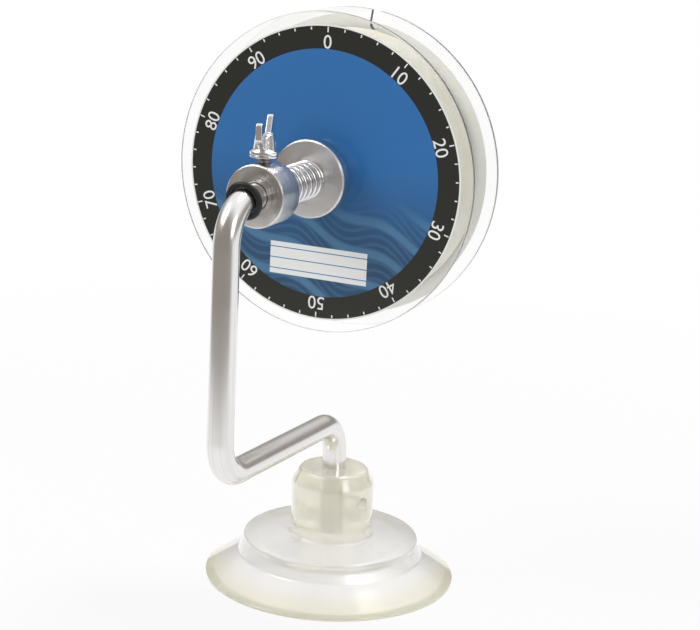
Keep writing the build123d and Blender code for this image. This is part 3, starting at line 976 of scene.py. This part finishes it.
def slit_saw(face_y):
    """A flat tool with a round end, standing in the rim of the flange that ends at face_y."""
    half_w = SLIT_W / 2
    root = [pi + pi * k / SLIT_STEPS for k in range(SLIT_STEPS + 1)]
    blade = [(half_w, SAW_PAST_RIM), (-half_w, SAW_PAST_RIM)]
    blade += [(half_w * cos(t), -SLIT_DEPTH + half_w + half_w * sin(t)) for t in root]
    bm = bmesh.new()
    prism(
        bm,
        [(x, -SAW_PAST_FACE, z) for x, z in blade],
        [(x, FLANGE_T + SAW_PAST_FACE, z) for x, z in blade],
    )
    saw = solid("slit_saw", bm, styrene.material)
    saw.data.transform(
        Matrix.Translation((0, face_y - FLANGE_T, AXLE_Z))
        @ Matrix.Rotation(SLIT_TURN, 4, "Y")
        @ Matrix.Translation((0, 0, FLANGE_R))
    )
    return saw


for side, face_y, middle_y, inward in (
    ("front", front_low.y, front_high.y, 1),
    ("rear", rear_high.y, rear_low.y, -1),
):
    half_w = abs(middle_y - face_y) - GLUE_GAP
    half = turned(
        f"{side}_spool_moulding",
        [
            (SPOOL_BORE_R, 0, BORE_ROUND),
            (FLANGE_R, 0, FLANGE_ROUND),
            (FLANGE_R, FLANGE_T, FLANGE_ROUND),
            (DRUM_R, FLANGE_T, ROOT_ROUND),
            (DRUM_R, half_w, JOINT_ROUND),
            (DRUM_R - DRUM_WALL, half_w, JOINT_ROUND),
            (DRUM_R - DRUM_WALL, FLANGE_T, ROOT_ROUND),
            (SPOOL_BORE_R + HUB_WALL, FLANGE_T, ROOT_ROUND),
            (SPOOL_BORE_R + HUB_WALL, half_w, JOINT_ROUND),
            (SPOOL_BORE_R, half_w, JOINT_ROUND),
        ],
        styrene.material,
        around=192,
        steps=4,
        facing=inward,
    )
    on_axle(half, face_y)
    if side == "rear":
        cut(half, slit_saw(face_y))
    seat(half, "spool", f"spool_{side}_half")


# ---------------------------------------------------------------- line
# Pale monofilament, wound tight on the drum. The outer layer is one long run of line, turn beside
# turn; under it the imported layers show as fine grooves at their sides.

LINE_R, LINE_LAY = 0.000175, 0.00037
LINE_AROUND, LINE_POINTS = 6, 150  # sides of the line, and points to each of its turns
LINE_CREAM, LINE_PALE = (0.97, 0.92, 0.77), (0.99, 0.97, 0.87)
TONE_START, TONE_END = 0.35, 0.65
GROOVE_TURNS = (-60, -20, 20, 60)  # degrees round each turn of line that stands out at a side
winding_low, winding_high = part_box("line_winding")
core_low, core_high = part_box("line_core")
lay_w = winding_high.y - winding_low.y - 2 * LINE_R
lay_turns = int(lay_w / LINE_LAY)

filament = Finish(
    "monofilament",
    {
        "Base Color": LINE_PALE,
        "Roughness": 0.22,
        "IOR": 1.45,
        "Transmission Weight": 0.1,
        "Subsurface Weight": 0.2,
    },
)
tone = filament.soften(filament.noise(scale=160.0, detail=4.0), TONE_START, TONE_END)
filament.fill(filament.shader, {"Base Color": filament.blend(tone, LINE_CREAM, LINE_PALE)})

lay = Recipe(
    "wound line",
    {
        "Strand radius": LINE_R,
        "Turn radius": winding_high.x - LINE_R,
        "Turns": float(lay_turns),
        "Width": lay_w,
        "Points": LINE_POINTS * lay_turns,
    },
)
laid = lay.node("GeometryNodeSplineParameter")["Factor"]
lay_angle = laid * lay.given["Turns"] * (2 * pi)
lay.end(wind(lay, lay_angle, laid * lay.given["Width"], LINE_AROUND), filament.material)
wound_line = lay.make("outer_layer")
wound_line.data.transform(Matrix.Translation((0, winding_low.y + LINE_R, AXLE_Z)))
wound_line.data.shade_smooth()
seat(wound_line, "spool", "line_winding")

core_r, core_w, core_foot_r = core_high.x, core_high.y - core_low.y, DRUM_R + HOLE_CLEAR
layers = int((core_r - DRUM_R) / (2 * LINE_R))
near_side = [(core_foot_r, 0.0)]
for k in range(layers):
    middle_r = core_foot_r + (core_r - core_foot_r) * (k + 0.5) / layers
    near_side += [
        (middle_r + LINE_R * sin(radians(t)), LINE_R - LINE_R * cos(radians(t))) for t in GROOVE_TURNS
    ]
far_side = [(r, core_w - along) for r, along in reversed(near_side)]
core = turned("packed_layers", [(*p, 0) for p in near_side + far_side], filament.material, around=128)
on_axle(core, core_low.y)
seat(core, "spool", "line_core")


# ---------------------------------------------------------------- labels
# A printed paper disc is stuck on each flange: a black scale ring with plain numbers round a blue
# field with light wave bands and a white panel to write on.

LABEL_T, LABEL_HOLE_R, LABEL_RING_R, LABEL_EDGE_R = 0.0002, 0.0097, 0.0393, 0.0463
PRINT_EDGE = 0.00005  # softness of a printed edge
INK_BLACK, INK_WHITE, PAPER_BACK = (0.018, 0.019, 0.015), (0.86, 0.87, 0.85), (0.95, 0.95, 0.93)
BLUE_TOP, BLUE_LOW, BLUE_LIGHT = (0.022, 0.160, 0.440), (0.020, 0.075, 0.165), (0.10, 0.27, 0.46)
BLUE_LOW_Z, BLUE_TOP_Z = -0.030, 0.012  # heights from the axle
BAND_TOP_Z, BAND_FULL_Z, BAND_SHARE = -0.004, -0.016, 0.6
BAND_RATE, HAIR_RATE, HAIR_SHARE = 620.0, 2300.0, 0.35  # rates in radians to the metre
BAND_START, BAND_END, HAIR_START, HAIR_END = 0.2, 0.95, -0.2, 0.9  # parts of each wave that take ink
SWAY_RATE, SWAY, BAND_SLOPE = 210.0, 0.0016, 0.35
PANEL_W, PANEL_H, PANEL_Z, PANEL_LINE = 0.034, 0.0105, -0.0285, 0.0035
RULE_CLEAR, RULE_INKED = 0.0002, 0.0001

print_ink = Finish("printed label", {"Roughness": 0.36, "Coat Weight": 0.15, "Coat Roughness": 0.12})
seen_at, label_r = off_axle(print_ink)
field = print_ink.blend(print_ink.soften(seen_at["Z"], BLUE_LOW_Z, BLUE_TOP_Z), BLUE_LOW, BLUE_TOP)
sway = print_ink.math("SINE", seen_at["X"] * SWAY_RATE) * SWAY
band_place = seen_at["Z"] + seen_at["X"] * BAND_SLOPE + sway
band_wave = print_ink.math("SINE", band_place * BAND_RATE)
hair_wave = print_ink.math("SINE", (band_place + sway) * HAIR_RATE)
band = print_ink.soften(band_wave, BAND_START, BAND_END)
hair = print_ink.soften(hair_wave, HAIR_START, HAIR_END) * HAIR_SHARE
band_span = print_ink.soften(seen_at["Z"], BAND_TOP_Z, BAND_FULL_Z) * BAND_SHARE
field = print_ink.blend(print_ink.math("MAXIMUM", band, hair) * band_span, field, BLUE_LIGHT)
off_middle_x = print_ink.math("ABSOLUTE", seen_at["X"])
off_panel_z = print_ink.math("ABSOLUTE", seen_at["Z"] - PANEL_Z)
on_panel_x = print_ink.soften(off_middle_x, PANEL_W / 2, PANEL_W / 2 - PRINT_EDGE)
on_panel_z = print_ink.soften(off_panel_z, PANEL_H / 2, PANEL_H / 2 - PRINT_EDGE)
off_rule = print_ink.math("PINGPONG", seen_at["Z"] - PANEL_Z, PANEL_LINE / 2)
panel = print_ink.blend(print_ink.soften(off_rule, RULE_CLEAR, RULE_INKED), INK_WHITE, BLUE_TOP)
field = print_ink.blend(on_panel_x * on_panel_z, field, panel)
for edge_r, ink in ((LABEL_RING_R, INK_BLACK), (LABEL_EDGE_R, INK_WHITE)):
    outside = print_ink.soften(label_r, edge_r - PRINT_EDGE, edge_r + PRINT_EDGE)
    field = print_ink.blend(outside, field, ink)
off_middle_y = print_ink.math("ABSOLUTE", seen_at["Y"] - (front_low.y + rear_high.y) / 2)
printed_from = (rear_high.y - front_low.y) / 2 + LABEL_T / 2
printed_side = print_ink.math("GREATER_THAN", off_middle_y, printed_from)
print_ink.fill(print_ink.shader, {"Base Color": print_ink.blend(printed_side, PAPER_BACK, field)})
print_ink.relief(print_ink.noise(scale=2500.0, detail=3.0), depth=0.000008)

INK_ROUGH_LOW, INK_ROUGH_HIGH = 0.28, 0.42
white_ink = Finish("white ink", {"Base Color": INK_WHITE})
speck = white_ink.noise(scale=3000.0, detail=2.0)
white_ink.fill(white_ink.shader, {"Roughness": between(speck, INK_ROUGH_LOW, INK_ROUGH_HIGH)})

SCALE_STEPS, SCALE_MINOR = 10, 5
FIGURE_H, FIGURE_R, FIGURE_SIZE = 0.0043, 0.0416, 1.4  # a font's size over its figures' height
INK_T = 0.00004
TICK_W, TICK_LONG, TICK_SHORT, TICK_R = 0.0004, 0.0016, 0.0009, 0.04605
ALMOST_NONE = 0.05  # under the share of a step that any tick but the first has behind it

ticks = Recipe(
    "scale ticks",
    {
        "Count": SCALE_STEPS * SCALE_MINOR,
        "Every": SCALE_MINOR,
        "Width": TICK_W,
        "Long": TICK_LONG,
        "Short": TICK_SHORT,
        "Outer radius": TICK_R,
        "Ink": INK_T,
    },
)
tick_no = ticks.node("GeometryNodeInputIndex")
tick_turn = tick_no / ticks.given["Count"] * (2 * pi)
is_long = ticks.math("LESS_THAN", ticks.math("FRACT", tick_no / ticks.given["Every"]), ALMOST_NONE)
tick_l = ticks.given["Short"] + is_long * (ticks.given["Long"] - ticks.given["Short"])
tick_r = ticks.given["Outer radius"] - tick_l * 0.5
tick_x = ticks.math("SINE", tick_turn) * tick_r
tick_z = ticks.math("COSINE", tick_turn) * tick_r
tick_place = ticks.vector(tick_x, 0.0, tick_z)
spots = ticks.node("GeometryNodeMeshLine", None, {"Count": ticks.given["Count"]})
ringed_spots = ticks.node("GeometryNodeSetPosition", None, {"Geometry": spots, "Position": tick_place})
placed = ticks.node(
    "GeometryNodeInstanceOnPoints",
    None,
    {
        "Points": ringed_spots,
        "Instance": ticks.node("GeometryNodeMeshCube", None, {"Size": (1.0, 1.0, 1.0)}),
        "Rotation": ticks.vector(0.0, tick_turn, 0.0),
        "Scale": ticks.vector(ticks.given["Width"], ticks.given["Ink"], tick_l),
    },
)
ticks.end(placed, white_ink.material)


def figure_mesh(text):
    """Mesh of a number in white ink, flat and centred across."""
    words = bpy.data.curves.new("figure", "FONT")
    words.body, words.size, words.extrude = text, FIGURE_H * FIGURE_SIZE, INK_T / 2
    words.align_x = "CENTER"
    figure = shown("figure", words)
    depsgraph = bpy.context.evaluated_depsgraph_get()
    inked = bpy.data.meshes.new_from_object(figure.evaluated_get(depsgraph))
    bpy.data.objects.remove(figure)
    inked.materials.clear()
    inked.materials.append(white_ink.material)
    return inked


for side, facing in (("front", -1), ("rear", 1)):
    low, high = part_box(f"{side}_label")
    outer_y = low.y if facing < 0 else high.y
    inner_y = high.y - GLUE_GAP if facing < 0 else low.y + GLUE_GAP
    paper = turned(
        f"{side}_paper_disc",
        [
            (LABEL_HOLE_R, inner_y, 0),
            (high.x, inner_y, 0),
            (high.x, outer_y, 0),
            (LABEL_HOLE_R, outer_y, 0),
        ],
        print_ink.material,
        around=192,
    )
    on_axle(paper, 0.0)
    seat(paper, "spool", f"{side}_label")

    on_face = Matrix.Translation((0, outer_y + facing * INK_T / 2, AXLE_Z))
    marks = ticks.make(f"{side}_scale_ticks")
    marks.data.transform(on_face)
    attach(marks, "spool")

    for k in range(SCALE_STEPS):
        about = Matrix.Rotation(2 * pi * k / SCALE_STEPS, 4, "Y")
        if facing > 0:
            about = Matrix.Rotation(pi, 4, "Z") @ about
        upright = Matrix.Translation((0, 0, FIGURE_R - FIGURE_H / 2)) @ Matrix.Rotation(radians(90), 4, "X")
        inked = figure_mesh(str(10 * k))
        inked.transform(on_face @ about @ upright)
        number = shown(f"{side}_number_{k}", inked)
        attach(number, "spool")
